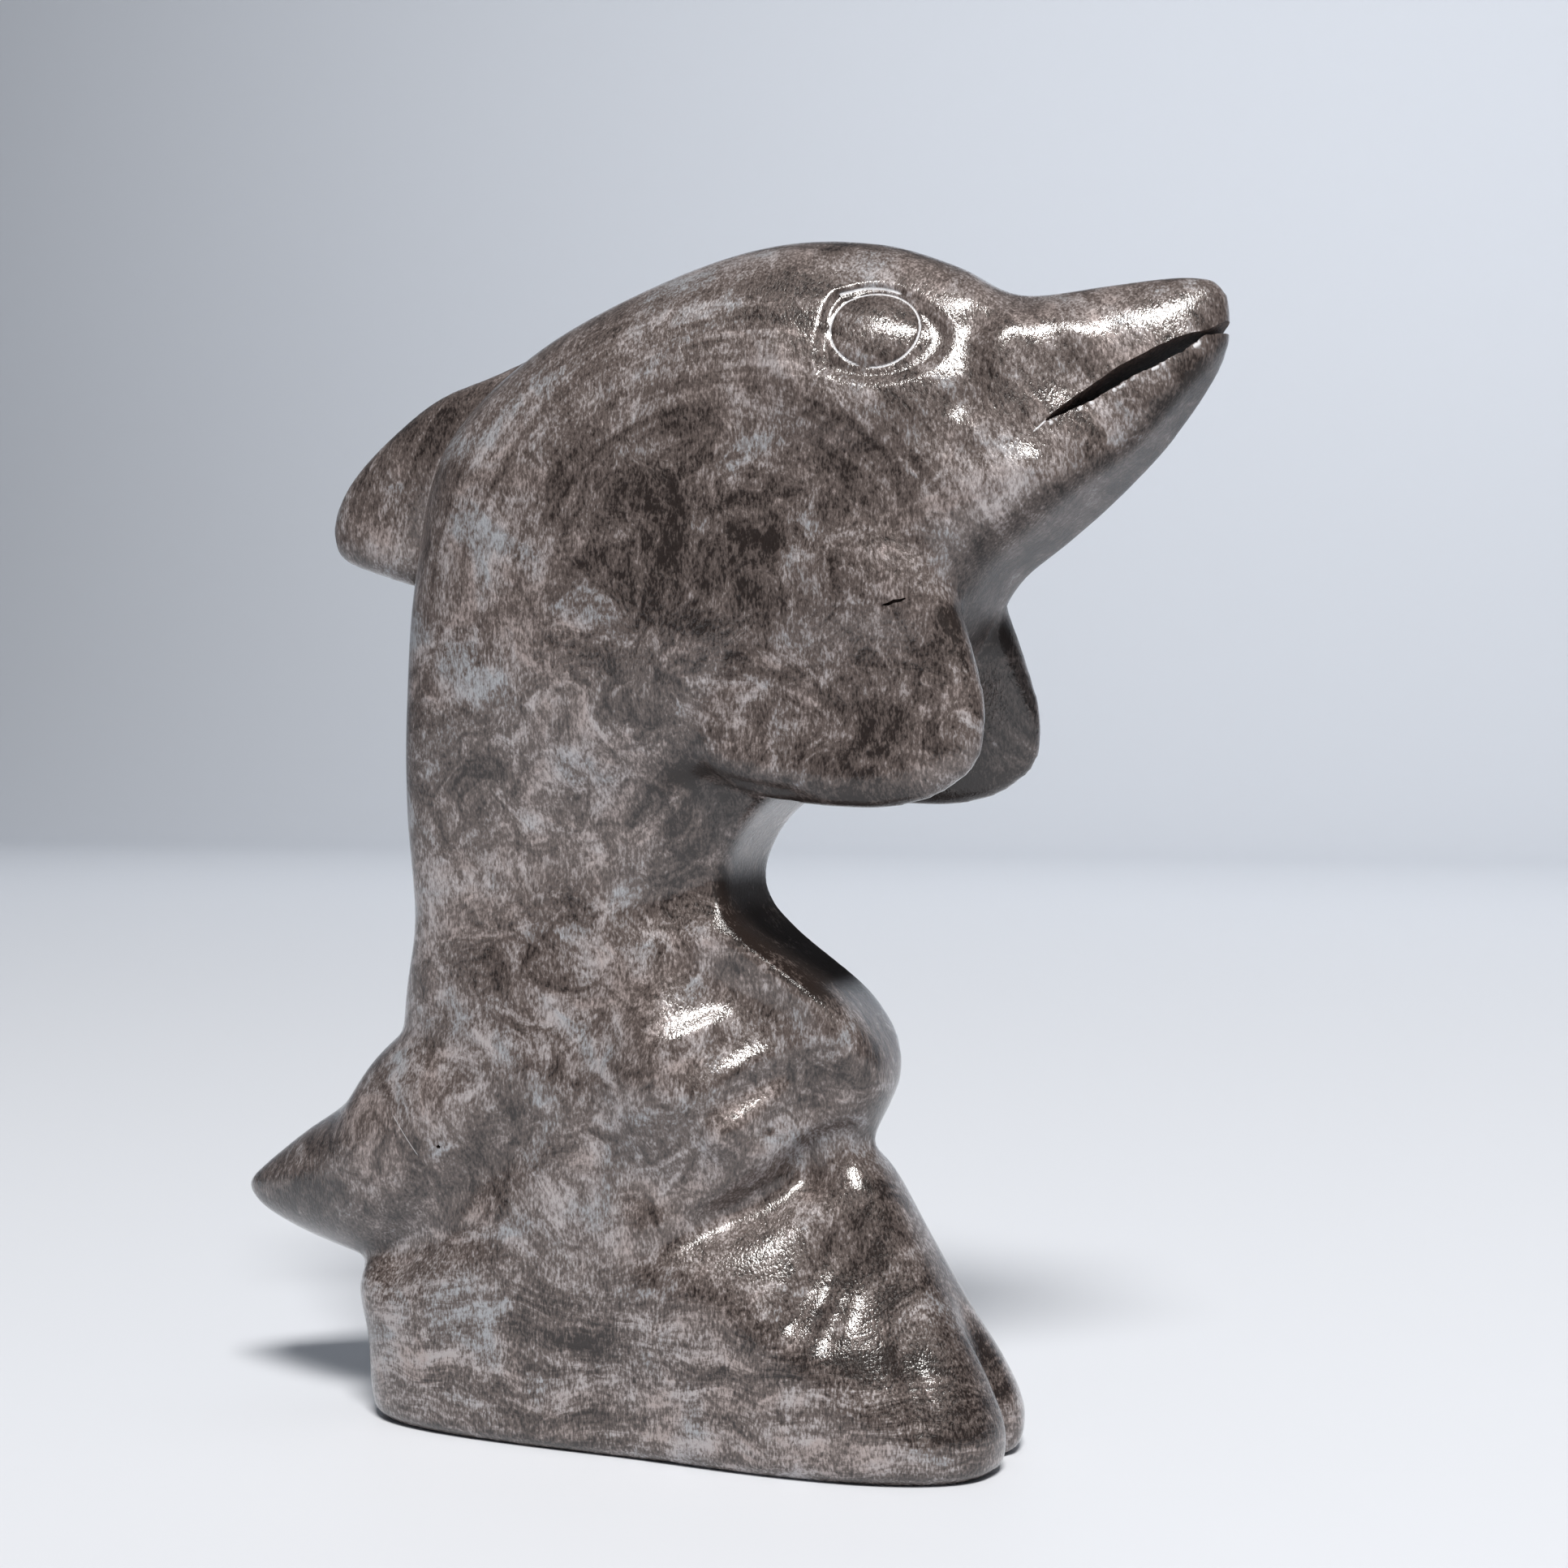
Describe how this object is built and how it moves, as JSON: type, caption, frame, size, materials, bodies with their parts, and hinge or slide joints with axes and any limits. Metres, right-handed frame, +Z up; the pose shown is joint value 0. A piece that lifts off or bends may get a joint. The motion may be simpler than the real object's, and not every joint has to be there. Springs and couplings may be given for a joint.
{
  "type": "dolphin figurine",
  "caption": "Polished stone carving of a dolphin leaping upright from a wave on a flat-bottomed rock base, with a sawn open mouth, breast fins, back fin and tail fluke.",
  "frame": {"origin": "on the flat underside, below the crown of the head, in the carving's plane of symmetry", "axes": "+X towards the beak, +Z up, +Y out of the dolphin's left flank; the XZ plane is the plane of symmetry"},
  "size_m": [0.0754, 0.02, 0.0852],
  "materials": {
    "polished_stone": "polished"
  },
  "bodies": {
    "root": {"dolphin_carving": "polished_stone"}
  },
  "joints": []
}
